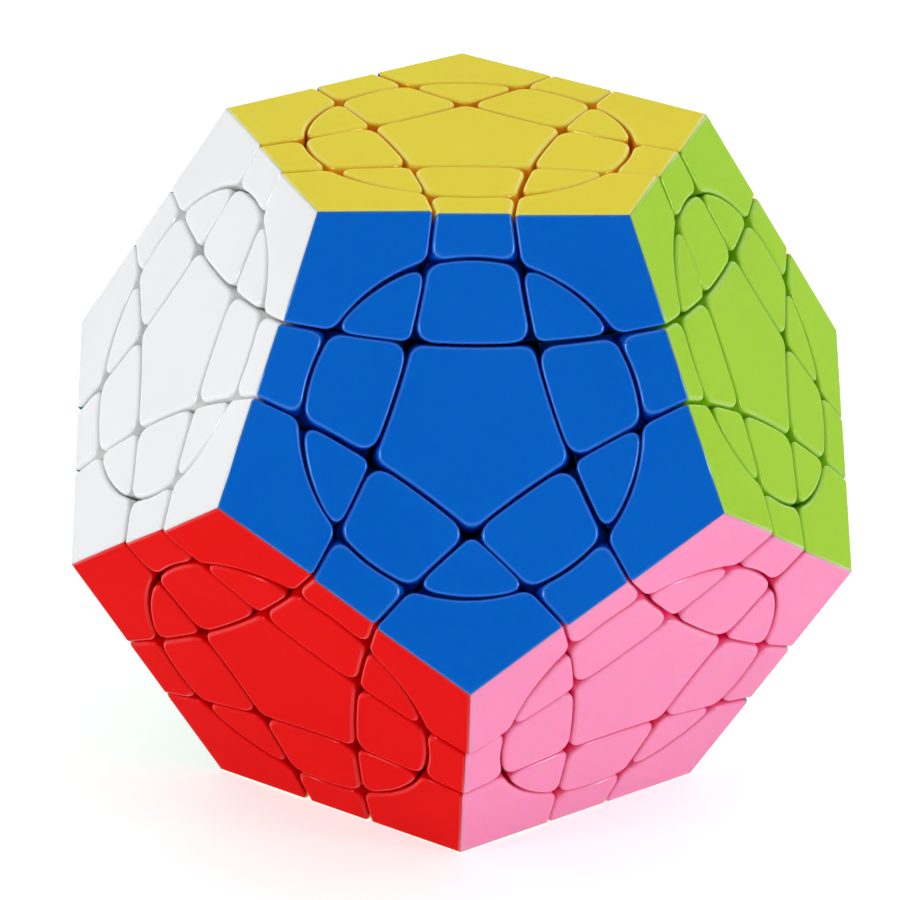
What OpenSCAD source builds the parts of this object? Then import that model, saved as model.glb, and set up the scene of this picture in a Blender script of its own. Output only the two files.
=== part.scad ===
// Dodecahedron twisty puzzle. Every face carries a round dial that stays put while the ring around it turns.
// Frame: millimetres, origin at the middle of the core, +Z out through the yellow face,
// -Y towards the blue face. It rests on its cream face, which points down -Z.

/* [Body] */
// centre of the core to the middle of any outer face
face_r = 38; // [30:0.5:50]
// clearance between neighbouring pieces, seen as the fine groove
gap = 0.3; // [0.2:0.05:0.6]

/* [Cuts] */
// height of the cut cone's tip above the core's centre, along the face's axis
cut_tip_h = 14.2; // [13.4:0.1:15]
// slope of the cut cone above a plane square to the axis
cut_slope = 19.8; // [17:0.1:22]

/* [Circles] */
// radius of the round dial let into each face
circle_r = 18.5; // [16:0.1:19]
// depth of the dial below the face
circle_depth = 4; // [3:0.1:4.5]
// how far the dial's foot reaches out under the ring pieces
tongue_w = 0.8; // [0.4:0.1:1.2]
// thickness of that foot
tongue_h = 1.3; // [0.8:0.1:1.8]

/* [Feet] */
// thickness of the feet that the turntables hold down
foot_t = 6; // [4:0.1:8]
// half angle of the cones that part the feet
foot_angle = 54; // [53:0.1:55]
// extra step in of the necks that join feet and heads
neck_inset = 0.3; // [0.1:0.05:0.5]
// how far a neck runs into the foot and into the head
neck_lap = 1; // [0.5:0.1:2]

/* [Core] */
// radius of the ball in the middle
ball_r = 10; // [7:0.5:14]
// radius of each arm
arm_r = 2.6; // [2:0.1:2.9]
// radius of each arm's flared root
arm_root_r = 4.2; // [3.2:0.1:5]
// length of the flared root beyond the ball
arm_root_len = 4; // [2:0.5:6]
// how far each arm's end stops below the dial's floor
arm_end_drop = 0.8; // [0.6:0.1:1.2]

/* [Turntables] */
// thickness of a turntable at its middle, from the dial's floor to the ball surface it slides on
turntable_t = 5.5; // [4.5:0.1:7]
// clearance between a turntable's rim and the layers of the faces around it
turntable_clear = 0.3; // [0.2:0.05:0.8]
// running clearance between an arm and its turntable
slip = 0.08; // [0.03:0.01:0.1]
// thickness of the web under the spring
web_t = 1.8; // [1.2:0.1:2.5]
// clearance between a spring and the wall of its pocket
pocket_clear = 0.45; // [0.2:0.05:0.8]

/* [Tension] */
// clearance between an arm and the spring around it
spring_clear = 0.45; // [0.2:0.05:0.8]
// thickness of the spring's wire
wire_d = 0.8; // [0.5:0.05:1]
// how far each turn of a spring is pressed into the next
turn_lap = 0.05; // [0.02:0.01:0.1]
// clearance between a washer's rim and the wall of the pocket
washer_clear = 0.3; // [0.15:0.05:0.6]
// thickness of a washer
washer_t = 0.6; // [0.4:0.1:0.8]
// radius of a screw's head
head_r = 2; // [1.6:0.1:2.4]
// height of a screw's head
head_h = 1.4; // [1:0.1:1.6]
// radius of a screw's shank
shank_r = 1; // [0.7:0.1:1.3]
// length of a screw's shank below the washer
shank_len = 12; // [8:0.5:16]
// clearance around a shank and a head
screw_clear = 0.1; // [0.05:0.05:0.2]
// width across the corners of the socket in a screw's head
socket_d = 2; // [1.2:0.1:2.6]
// depth of that socket
socket_depth = 0.8; // [0.5:0.1:1]

/* [Centre caps] */
// thickness of a cap's top over its hollow
cap_top_t = 1.7; // [1.2:0.1:2]
// wall of the collar that grips the screw's head
collar_t = 0.9; // [0.6:0.1:1.2]

/* [Hidden] */
$fn = 64;
half_gap = gap / 2;
far = 2 * face_r;
pocket_z = face_r - circle_depth;
slide_r = pocket_z - turntable_t;
hollow_r = slide_r - foot_t;
neck_in = half_gap + neck_inset;
web_z = slide_r + half_gap + web_t;
arm_end_z = pocket_z - arm_end_drop;
washer_top_z = arm_end_z + washer_t;
cap_hollow_z = face_r - cap_top_t;
spring_r = arm_r + spring_clear + wire_d / 2;
spring_pocket_r = spring_r + wire_d / 2 + pocket_clear;
washer_r = spring_pocket_r - washer_clear;
spring_low_z = web_z + slip + wire_d / 2;
spring_span = arm_end_z - wire_d / 2 - spring_low_z;
spring_turns = ceil(spring_span / (wire_d - turn_lap)) + 1;
spring_pitch = spring_span / (spring_turns - 1);
wire_sides = 8;
screw_hole_r = shank_r + screw_clear;
through = 1;

// the twelve faces: the top one, the upper ring, the lower ring, the bottom one
tilt_between = acos(1 / sqrt(5));
ring_step = 72;
upper_start = -90;
lower_start = upper_start + ring_step / 2;
face_names = [
    "yellow",
    "blue", "green", "orange", "purple", "white",
    "pink", "grey", "sky", "forest", "red",
    "cream"
];
paint = [
    [0.88, 0.80, 0.34],
    [0.05, 0.36, 0.77], [0.62, 0.80, 0.28], [0.96, 0.52, 0.10], [0.48, 0.24, 0.66], [0.93, 0.93, 0.93],
    [0.95, 0.56, 0.72], [0.55, 0.57, 0.60], [0.45, 0.74, 0.92], [0.05, 0.45, 0.24], [0.88, 0.08, 0.08],
    [0.95, 0.90, 0.74]
];
ring = [0 : 4];
face_tilt = concat([0], [for (k = ring) tilt_between], [for (k = ring) 180 - tilt_between], [180]);
face_turn = concat([0], [for (k = ring) upper_start + ring_step * k],
                   [for (k = ring) lower_start + ring_step * k], [0]);
face_axis = [
    for (i = [0 : 11])
        [sin(face_tilt[i]) * cos(face_turn[i]), sin(face_tilt[i]) * sin(face_turn[i]), cos(face_tilt[i])]
];
all_faces = [0 : 11];
held = 11;
turning = [0 : 10];

function adjacent(i, j) = abs(face_axis[i] * face_axis[j] - cos(tilt_between)) < 0.01;
function neighbours(i) = [for (j = all_faces) if (adjacent(i, j)) j];
function shared(i, j) = [for (k = all_faces) if (adjacent(i, k) && adjacent(j, k)) k];

// whether face k is a step anticlockwise from face j, going round face i
function on_left(i, j, k) = cross(face_axis[i], face_axis[j]) * face_axis[k] > 0;

// how far from a face's axis, at height h along it, the layer of the next face begins
function layer_start(h) =
    let (
        tip = cut_tip_h - half_gap / cos(cut_slope),
        slope = tan(cut_slope),
        c = cos(tilt_between),
        s = sin(tilt_between),
        k = 1 + slope ^ 2,
        square = k * s ^ 2 - slope ^ 2,
        linear = 2 * s * (k * h * c - tip),
        rest = k * (h * c) ^ 2 - 2 * tip * h * c + tip ^ 2 - (slope * h) ^ 2
    )
    (sqrt(linear ^ 2 - 4 * square * rest) - linear) / (2 * square);

turntable_r = layer_start(pocket_z) - turntable_clear;

// pairs and triples of faces that meet, among those that turn
pairs = [for (i = turning) for (j = turning) if (i < j && adjacent(i, j)) [i, j]];
triples = [
    for (p = pairs) for (k = turning)
        if (p[1] < k && adjacent(p[0], k) && adjacent(p[1], k)) [p[0], p[1], k]
];

function turntable_name(i) = str("turntable_", face_names[i]);
function edge_name(p) = str("edge_", face_names[p[0]], "_", face_names[p[1]]);
function corner_name(t) = str("corner_", face_names[t[0]], "_", face_names[t[1]], "_", face_names[t[2]]);

// turns the local frame, where +Z is a face and the next face leans towards +X, onto faces i and j
module from_face(i, j) {
    z = face_axis[i];
    along = face_axis[j] - (face_axis[j] * z) * z;
    x = along / norm(along);
    y = cross(z, x);
    multmatrix([
        [x[0], y[0], z[0], 0],
        [x[1], y[1], z[1], 0],
        [x[2], y[2], z[2], 0]
    ])
        children();
}

// the same for face i alone, where it doesn't matter which way the local X points
module on_face(i) {
    from_face(i, neighbours(i)[0])
        children();
}

// the faces near the local one: 0 is that face itself, 1 to 5 go round it from +X
own_face = 0;
near_face = 1;
left_face = 2;
right_face = 5;

module towards(k) {
    if (k == own_face)
        children();
    else
        rotate([0, tilt_between, ring_step * (k - near_face)])
            children();
}

// regions of space; grow is how far the region's surface is moved outwards

// everything below a face
module under_face(k) {
    towards(k)
        translate([-far, -far, -far])
            cube([2 * far, 2 * far, far + face_r]);
}

// the layer that turns with a face, out beyond the sliding surface
module layer(k, grow) {
    towards(k)
        translate([0, 0, cut_tip_h - grow / cos(cut_slope)])
            cylinder(h = far, r1 = 0, r2 = far / tan(cut_slope));
}

// the same layer, in below the sliding surface
module foot_layer(k, grow) {
    towards(k)
        translate([0, 0, -grow / sin(foot_angle)])
            cylinder(h = face_r, r1 = 0, r2 = face_r * tan(foot_angle));
}

// the dial's round pocket in a face, with the groove for its foot
module dial(k, grow) {
    towards(k)
        translate([0, 0, pocket_z - grow]) {
            cylinder(h = 2 * circle_depth, r = circle_r + grow);
            cylinder(h = tongue_h + 2 * grow, r = circle_r + tongue_w + grow);
        }
}

// a piece of the ring: its head, its foot and the neck between them.
// own lists the faces it turns with, others the near faces it never turns with.
module ring_piece(own, others) {
    difference() {
        intersection() {
            intersection_for (k = own)
                under_face(k);
            intersection_for (k = own)
                layer(k, -half_gap);
        }
        for (k = own)
            dial(k, half_gap);
        for (k = others)
            layer(k, half_gap);
        sphere(r = slide_r + half_gap);
    }
    difference() {
        intersection() {
            sphere(r = slide_r + neck_lap);
            intersection_for (k = own)
                layer(k, -neck_in);
            intersection_for (k = own)
                foot_layer(k, -neck_in);
        }
        for (k = others)
            foot_layer(k, neck_in);
        sphere(r = slide_r - neck_lap);
    }
    difference() {
        intersection() {
            sphere(r = slide_r - half_gap);
            intersection_for (k = own)
                foot_layer(k, -half_gap);
        }
        for (k = others)
            foot_layer(k, half_gap);
        sphere(r = hollow_r);
    }
}

module edge_piece() {
    ring_piece([own_face, near_face], [left_face, right_face]);
}

module corner_piece() {
    ring_piece([own_face, near_face, left_face], []);
}

// a three-sided piece of the local face's dial, between the near and the left face
module triangle() {
    intersection() {
        under_face(own_face);
        dial(own_face, -half_gap);
        layer(near_face, -half_gap);
        layer(left_face, -half_gap);
    }
}

// a petal of the local face's dial, on the side of the near face
module petal() {
    difference() {
        intersection() {
            under_face(own_face);
            dial(own_face, -half_gap);
            layer(near_face, -half_gap);
        }
        layer(left_face, half_gap);
        layer(right_face, half_gap);
    }
}

// what is left of a shape below the layers of the near faces from k round to the last one
module below_layers(k) {
    if (k > right_face)
        children();
    else
        difference() {
            below_layers(k + 1)
                children();
            layer(k, half_gap);
        }
}

// the disc under a dial, sprung against the feet
module turntable_disc() {
    difference() {
        translate([0, 0, hollow_r])
            cylinder(h = pocket_z - half_gap - hollow_r, r = turntable_r);
        sphere(r = slide_r + half_gap);
        cylinder(h = far, r = arm_r + slip);
        translate([0, 0, web_z])
            cylinder(h = far, r = spring_pocket_r);
    }
}

// the five-sided cap in the middle of a dial, with a collar that grips its screw's head
module centre_cap() {
    collar_r = head_r + screw_clear;
    difference() {
        below_layers(near_face)
            translate([0, 0, pocket_z + half_gap])
                cylinder(h = circle_depth - half_gap, r = circle_r);
        translate([0, 0, washer_top_z])
            cylinder(h = cap_hollow_z - washer_top_z, r = spring_pocket_r);
    }
    translate([0, 0, washer_top_z])
        difference() {
            cylinder(h = cap_hollow_z - washer_top_z + cap_top_t / 2, r = collar_r + collar_t);
            cylinder(h = cap_hollow_z - washer_top_z, r = collar_r);
        }
}

// the edge piece between faces i and j and the two dial triangles at its ends
module edge_set(i, j) {
    from_face(i, j)
        edge_piece();
    for (e = shared(i, j))
        from_face(e, on_left(e, i, j) ? i : j)
            triangle();
}

// the corner piece where faces i, j and k meet
module corner_set(i, j, k) {
    from_face(i, on_left(i, j, k) ? j : k)
        corner_piece();
}

module core_spider() {
    color([0.16, 0.16, 0.17])
        difference() {
            union() {
                sphere(r = ball_r);
                for (i = all_faces)
                    on_face(i) {
                        cylinder(h = arm_end_z, r = arm_r);
                        translate([0, 0, ball_r - through])
                            cylinder(h = arm_root_len + through, r1 = arm_root_r, r2 = arm_r);
                    }
            }
            for (i = all_faces)
                on_face(i)
                    translate([0, 0, arm_end_z - shank_len - through])
                        cylinder(h = far, r = screw_hole_r);
        }
}

module tension_screws() {
    color([0.72, 0.73, 0.75])
        for (i = all_faces)
            on_face(i)
                difference() {
                    union() {
                        translate([0, 0, washer_top_z])
                            cylinder(h = head_h, r = head_r);
                        translate([0, 0, arm_end_z - shank_len])
                            cylinder(h = shank_len + washer_t + head_h / 2, r = shank_r);
                    }
                    translate([0, 0, washer_top_z + head_h - socket_depth])
                        cylinder(h = head_h, d = socket_d, $fn = 6);
                }
}

module spring_washers() {
    color([0.62, 0.63, 0.65])
        for (i = all_faces)
            on_face(i)
                translate([0, 0, arm_end_z])
                    difference() {
                        cylinder(h = washer_t, r = washer_r);
                        translate([0, 0, -through])
                            cylinder(h = washer_t + 2 * through, r = screw_hole_r);
                    }
}

module tension_springs() {
    color([0.66, 0.67, 0.7])
        for (i = all_faces)
            on_face(i)
                rotate_extrude()
                    for (k = [0 : spring_turns - 1])
                        translate([spring_r, spring_low_z + k * spring_pitch])
                            circle(d = wire_d, $fn = wire_sides);
}

module centre_caps() {
    for (i = all_faces)
        color(paint[i])
            on_face(i)
                centre_cap();
}

// the disc of face i and the five petals that go round with it; the lower ring's sets
// also carry what stands between them and the held face
module turntable_set(i) {
    color(paint[i]) {
        on_face(i)
            turntable_disc();
        for (j = neighbours(i))
            from_face(j, i)
                petal();
        if (i != held && adjacent(i, held))
            edge_set(i, held);
    }
}

module edge_group(p) {
    color(paint[p[0]]) {
        edge_set(p[0], p[1]);
        if (adjacent(p[0], held) && adjacent(p[1], held))
            corner_set(p[0], p[1], held);
    }
}

module corner_group(t) {
    color(paint[t[0]])
        corner_set(t[0], t[1], t[2]);
}

core_spider();
tension_screws();
spring_washers();
tension_springs();
centre_caps();
for (i = all_faces)
    turntable_set(i);
for (p = pairs)
    edge_group(p);
for (t = triples)
    corner_group(t);
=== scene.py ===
"""Dodecahedron twisty puzzle: coloured shells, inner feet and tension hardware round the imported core."""
import logging
import math
import random
from dataclasses import dataclass, field
from enum import Enum
from typing import Sequence

import bmesh
import bpy
import numpy as np
from mathutils import Matrix, Vector


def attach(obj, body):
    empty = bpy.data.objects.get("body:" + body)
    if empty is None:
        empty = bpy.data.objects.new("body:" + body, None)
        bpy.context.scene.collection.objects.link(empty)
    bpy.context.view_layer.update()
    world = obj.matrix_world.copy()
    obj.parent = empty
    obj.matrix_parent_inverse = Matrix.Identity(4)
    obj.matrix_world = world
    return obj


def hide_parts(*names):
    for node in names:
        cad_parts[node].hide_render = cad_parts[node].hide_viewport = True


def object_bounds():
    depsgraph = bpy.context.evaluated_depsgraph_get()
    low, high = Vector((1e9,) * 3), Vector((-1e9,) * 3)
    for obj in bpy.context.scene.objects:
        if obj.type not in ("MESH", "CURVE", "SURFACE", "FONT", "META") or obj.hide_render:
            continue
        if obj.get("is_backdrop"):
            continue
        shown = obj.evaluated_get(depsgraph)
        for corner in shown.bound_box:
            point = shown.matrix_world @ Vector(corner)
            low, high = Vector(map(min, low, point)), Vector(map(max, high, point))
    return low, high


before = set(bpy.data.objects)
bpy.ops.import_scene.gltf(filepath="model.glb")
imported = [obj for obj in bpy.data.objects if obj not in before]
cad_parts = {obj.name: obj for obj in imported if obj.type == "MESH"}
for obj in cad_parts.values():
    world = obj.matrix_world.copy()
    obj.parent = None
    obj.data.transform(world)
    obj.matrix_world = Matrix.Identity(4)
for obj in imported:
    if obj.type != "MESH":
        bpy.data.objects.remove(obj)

MM = 0.001
WHITE = (1.0, 1.0, 1.0, 1.0)
NEWTON_STEPS = 10
LOG = logging.getLogger("puzzle")


class Face(Enum):
    """The twelve faces, named after their plastic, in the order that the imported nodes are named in."""

    YELLOW = "yellow"
    BLUE = "blue"
    GREEN = "green"
    ORANGE = "orange"
    PURPLE = "purple"
    WHITE = "white"
    PINK = "pink"
    GREY = "grey"
    SKY = "sky"
    FOREST = "forest"
    RED = "red"
    CREAM = "cream"


FACES: tuple[Face, ...] = tuple(Face)
HELD = Face.CREAM
NODE_KINDS = ("turntable", "edge", "corner")
BODY_KINDS = ("ring", "edge", "corner")


@dataclass(frozen=True)
class Solid:
    """Directions of a regular dodecahedron that stands on one face."""

    fold: int = 5
    tilt: float = math.acos(1 / math.sqrt(5))
    first_upper: float = math.radians(-90)
    close: float = 0.01

    def axis(self, face: Face) -> np.ndarray:
        """Unit vector out through a face.

        Args:
            face: the face to point through.

        Returns:
            The direction as three numbers.
        """
        place = FACES.index(face)
        if place in (0, len(FACES) - 1):
            return np.array([0.0, 0.0, 1.0 if place == 0 else -1.0])
        ring, step = divmod(place - 1, self.fold)
        turn = self.first_upper + math.tau / self.fold * (step + ring / 2)
        tilt = math.pi - self.tilt if ring else self.tilt
        return np.array([math.sin(tilt) * math.cos(turn), math.sin(tilt) * math.sin(turn), math.cos(tilt)])

    def meets(self, one: Face, other: Face) -> bool:
        """Whether two faces share an edge."""
        return abs(float(self.axis(one) @ self.axis(other)) - math.cos(self.tilt)) < self.close

    def local_frame(self, face: Face, towards: Face) -> np.ndarray:
        """Rotation whose third column leaves through a face and whose first leans towards another.

        Args:
            face: the face that becomes +Z.
            towards: the neighbouring face that +X leans to.

        Returns:
            A 3 by 3 rotation with the three directions as columns.
        """
        out = self.axis(face)
        near = self.axis(towards)
        along = near - (near @ out) * out
        along /= np.linalg.norm(along)
        return np.column_stack([along, np.cross(out, along), out])

    def around(self, face: Face) -> list[Face]:
        """The five faces that meet a face, anticlockwise as seen from outside.

        Args:
            face: the face to go round.

        Returns:
            Its neighbours, starting with the first in the faces' own order.
        """
        near = [other for other in FACES if self.meets(face, other)]
        turned = self.local_frame(face, near[0])

        def turn(other: Face) -> float:
            """Angle of a neighbour from the first one."""
            x, y, _ = turned.T @ self.axis(other)
            return round(math.degrees(math.atan2(y, x))) % 360

        return sorted(near, key=turn)


SOLID = Solid()


@dataclass(frozen=True)
class PuzzleSizes:
    """Sizes in millimetres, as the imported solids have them; the overall one is read from their box."""

    face_r: float
    gap: float = 0.3
    cut_tip_h: float = 14.2
    cut_slope: float = math.radians(19.8)
    circle_r: float = 18.5
    circle_depth: float = 4.0
    tongue_w: float = 0.8
    tongue_h: float = 1.3
    cap_top_t: float = 1.7
    cap_hollow_r: float = 4.3

    @property
    def half_gap(self) -> float:
        """Half the clearance between neighbouring pieces."""
        return self.gap / 2

    @property
    def ridge_per_height(self) -> float:
        """Distance of a ridge from a face's axis for each millimetre of height above the core's centre."""
        return (1 - math.cos(SOLID.tilt)) / math.sin(SOLID.tilt)

    @property
    def vertex_r(self) -> float:
        """Distance of a solid's vertex from the middle of the face."""
        return self.face_r * self.ridge_per_height / math.cos(math.pi / SOLID.fold)


class SideKind(Enum):
    """What a side of an outline lies along."""

    CUT = "cut"
    DIAL = "dial"
    RIDGE = "ridge"


@dataclass(frozen=True)
class Section:
    """A plane square to a face's axis: its height above the core's centre and the dial's radius there."""

    height: float
    dial_r: float


@dataclass(frozen=True)
class Side:
    """One side of a shell's outline, moved out from its cut, circle or ridge by a clearance."""

    kind: SideKind
    azimuth: float
    clearance: float
    sizes: PuzzleSizes
    probe: float = 1e-5

    def directions(self) -> tuple[np.ndarray, np.ndarray]:
        """Unit vectors across and along the side."""
        c, s = math.cos(self.azimuth), math.sin(self.azimuth)
        return np.array([c, s]), np.array([-s, c])

    def facing(self) -> float:
        """1 where the shell lies beyond the side, as a positive clearance says, and -1 if before it."""
        return 1.0 if self.clearance > 0 else -1.0

    def cut_tip(self) -> float:
        """Height of the cut's cone tip along its own axis, moved square to the cone by the clearance."""
        return self.sizes.cut_tip_h + self.clearance / math.cos(self.sizes.cut_slope)

    def value(self, points: np.ndarray, section: Section) -> np.ndarray:
        """Signed measure of points, zero on the side.

        Args:
            points: one place in the section's plane for each row.
            section: the plane.

        Returns:
            One value for each point.
        """
        across, _ = self.directions()
        reach = np.linalg.norm(points, axis=-1)
        if self.kind is SideKind.DIAL:
            return reach - (section.dial_r + self.clearance)
        if self.kind is SideKind.RIDGE:
            return points @ across - self.sizes.ridge_per_height * section.height
        rise = math.sin(SOLID.tilt) * (points @ across) + math.cos(SOLID.tilt) * section.height
        spread = np.sqrt(np.maximum(reach**2 + section.height**2 - rise**2, 0.0))
        return rise - self.cut_tip() - math.tan(self.sizes.cut_slope) * spread

    def slope(self, points: np.ndarray, section: Section) -> np.ndarray:
        """Direction and rate in which the value grows.

        Args:
            points: one place in the section's plane for each row.
            section: the plane.

        Returns:
            One gradient for each point.
        """
        steps = np.eye(2) * self.probe
        sides = [self.value(points + step, section) - self.value(points - step, section) for step in steps]
        return np.stack(sides, axis=-1) / (2 * self.probe)

    def inward(self, points: np.ndarray, section: Section) -> np.ndarray:
        """Unit vectors into the shell, square to the side."""
        grows = self.slope(points, section)
        return self.facing() * grows / np.linalg.norm(grows, axis=-1, keepdims=True)

    def distance(self, point: np.ndarray, section: Section) -> float:
        """How far a point lies inside the side, in the plane."""
        rate = float(np.linalg.norm(self.slope(point, section)))
        return self.facing() * float(self.value(point, section)) / rate

    def base_line(self, start: np.ndarray, end: np.ndarray, section: Section, count: int) -> np.ndarray:
        """Points on the side itself.

        Args:
            start: first point.
            end: last point.
            section: the plane.
            count: how many points to give, both ends among them.

        Returns:
            The points, one to a row.
        """
        share = np.linspace(0.0, 1.0, count)[:, None]
        across, along = self.directions()
        t = start @ along + (end @ along - start @ along) * share[:, 0]
        if self.kind is SideKind.RIDGE:
            return self.sizes.ridge_per_height * section.height * across + t[:, None] * along
        if self.kind is SideKind.DIAL:
            first = math.atan2(start[1], start[0])
            sweep = (math.atan2(end[1], end[0]) - first + math.pi) % math.tau - math.pi
            turn = first + sweep * share[:, 0]
            return (section.dial_r + self.clearance) * np.column_stack([np.cos(turn), np.sin(turn)])
        m2 = math.tan(self.sizes.cut_slope) ** 2
        q, c, height = math.sin(SOLID.tilt), math.cos(SOLID.tilt), section.height
        drop = height * c - self.cut_tip()
        a = q * q - m2 + m2 * q * q
        b = 2 * q * drop + 2 * m2 * q * height * c
        rest = drop * drop - m2 * (height * height + t * t) + m2 * (height * c) ** 2
        s = (-b + np.sqrt(b * b - 4 * a * rest)) / (2 * a)
        return s[:, None] * across + t[:, None] * along

    def trace(self, start: np.ndarray, end: np.ndarray, section: Section, inset: float,
              count: int) -> np.ndarray:
        """Points along the side, moved into the shell.

        Args:
            start: first corner of the moved side.
            end: last corner of the moved side.
            section: the plane.
            inset: how far the side is moved in.
            count: how many points to give, both corners among them.

        Returns:
            The points, one to a row.
        """
        feet = [point - inset * self.inward(point, section) for point in (start, end)]
        line = self.base_line(feet[0], feet[1], section, count)
        return line + inset * self.inward(line, section)


@dataclass(frozen=True)
class Corner:
    """Where one side of an outline ends and the next begins, with the radius that rounds it."""

    radius: float
    azimuth: float
    bend_r: float

    def guess(self) -> np.ndarray:
        """Starting place for the search of the corner."""
        return self.radius * np.array([math.cos(self.azimuth), math.sin(self.azimuth)])


def crossing(sides: Sequence[Side], insets: Sequence[float], guess: np.ndarray,
             section: Section) -> np.ndarray:
    """Point where two moved sides cross, by Newton's method.

    Args:
        sides: the side that arrives and the side that leaves.
        insets: how far each is moved in.
        guess: a place near the crossing.
        section: the plane.

    Returns:
        The crossing in the plane.
    """
    point = guess.astype(float)
    for _ in range(NEWTON_STEPS):
        off = np.array([side.distance(point, section) - inset for side, inset in zip(sides, insets)])
        point = point - np.linalg.solve(np.stack([side.inward(point, section) for side in sides]), off)
    return point


@dataclass(frozen=True)
class RowShape:
    """One row of a shell: how far its free sides and its ridges are moved in, and how deep each lies."""

    free_in: float
    free_depth: float
    ridge_in: float
    ridge_depth: float
    dial_r: float

    def inset(self, side: Side) -> float:
        """How far a side is moved in."""
        return self.ridge_in if side.kind is SideKind.RIDGE else self.free_in


@dataclass(frozen=True)
class Outline:
    """Closed outline of a shell, anticlockwise: corner k stands before side k."""

    sides: tuple[Side, ...]
    corners: tuple[Corner, ...]
    spacing: float = 1.5
    bend_points: int = 6
    fine: int = 49
    longest_bend: float = 0.44
    least_bend_r: float = 0.08

    def counts(self, row: RowShape, top: float) -> list[int]:
        """How many points each side gets, the same in every row.

        Args:
            row: the row that the sides are measured on.
            top: height of the face above the core's centre.

        Returns:
            One count for each side.
        """
        section = Section(top, row.dial_r)
        ends = [
            crossing((self.sides[k - 1], self.sides[k]), (0.0, 0.0), corner.guess(), section)
            for k, corner in enumerate(self.corners)
        ]
        spans = [float(np.linalg.norm(ends[(k + 1) % len(ends)] - ends[k])) for k in range(len(ends))]
        return [
            2 if side.kind is SideKind.RIDGE else max(3, round(span / self.spacing))
            for side, span in zip(self.sides, spans)
        ]

    def points(self, row: RowShape, top: float, counts: Sequence[int]) -> np.ndarray:
        """One row of the shell with its corners rounded.

        Args:
            row: the row's insets and depths.
            top: height of the face above the core's centre.
            counts: how many points each side gets.

        Returns:
            The row's vertices in the face's own frame.
        """
        n = len(self.sides)
        insets = [row.inset(side) for side in self.sides]
        depths = [row.ridge_depth if side.kind is SideKind.RIDGE else row.free_depth for side in self.sides]
        mean = [Section(top - (depths[k - 1] + depths[k]) / 2, row.dial_r) for k in range(n)]
        ends = [
            crossing((self.sides[k - 1], self.sides[k]), (insets[k - 1], insets[k]), corner.guess(), mean[k])
            for k, corner in enumerate(self.corners)
        ]
        lines = [
            side.trace(ends[k], ends[(k + 1) % n], Section(top - depths[k], row.dial_r), insets[k], self.fine)
            for k, side in enumerate(self.sides)
        ]
        lengths = [
            np.concatenate([[0.0], np.cumsum(np.linalg.norm(np.diff(line, axis=0), axis=1))])
            for line in lines
        ]
        cut_back = []
        for k, corner in enumerate(self.corners):
            arrive, leave = lines[k - 1][-1] - lines[k - 1][-2], lines[k][1] - lines[k][0]
            cosine = -float(arrive @ leave) / float(np.linalg.norm(arrive) * np.linalg.norm(leave))
            half = math.acos(max(-1.0, min(1.0, cosine))) / 2
            free_r = corner.bend_r - max(insets[k - 1], insets[k])
            back = max(self.least_bend_r, free_r) / math.tan(half) if corner.bend_r > 0 else 0.0
            cut_back.append(min(back, *(self.longest_bend * lengths[near][-1] for near in (k - 1, k))))
        bodies = []
        for k, line in enumerate(lines):
            at = np.linspace(cut_back[k], lengths[k][-1] - cut_back[(k + 1) % n], counts[k])
            flat = [np.interp(at, lengths[k], line[:, axis]) for axis in range(2)]
            bodies.append(np.column_stack([*flat, np.full(len(at), top - depths[k])]))
        out = []
        for k in range(n):
            before, here = bodies[k - 1][-1], bodies[k][0]
            if self.corners[k].bend_r > 0:
                knee = np.array([*ends[k], (before[2] + here[2]) / 2])
                for step in range(1, self.bend_points):
                    u = step / self.bend_points
                    out.append((1 - u) ** 2 * before + 2 * u * (1 - u) * knee + u * u * here)
                out.extend(bodies[k])
            else:
                out.extend(bodies[k][1:])
        return np.array(out)


@dataclass(frozen=True)
class Rim:
    """How the top of a shell rounds over into its walls."""

    radius: float = 0.42
    ridge_radius: float = 0.6
    margin: float = 0.12
    steps: int = 4

    def row(self, step: int, dial_r: float) -> RowShape:
        """One row of the rounding.

        Args:
            step: 0 at the flat top, up to steps at the wall.
            dial_r: radius of the round dial there.

        Returns:
            The row's insets and depths.
        """
        turn = math.pi / 2 * step / self.steps
        half = SOLID.tilt / 2
        lean = half * step / self.steps
        ridge_in = self.ridge_radius * (math.tan(half) * math.cos(lean) - math.sin(lean))
        return RowShape(self.radius * (1 - math.sin(turn)), self.radius * (1 - math.cos(turn)), ridge_in,
                        self.ridge_radius * (1 - math.cos(lean)), dial_r)

    def flat_row(self, dial_r: float) -> RowShape:
        """The row on the flat top, a little in from where the rounding starts."""
        first = self.row(0, dial_r)
        return RowShape(first.free_in + self.margin, 0.0, first.ridge_in + self.margin, 0.0, dial_r)


@dataclass(frozen=True)
class Level:
    """One row of a shell's wall: its depth below the face, the dial's radius there and a hollow's, if any."""

    depth: float
    dial_r: float
    hollow_r: float = 0.0


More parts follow.
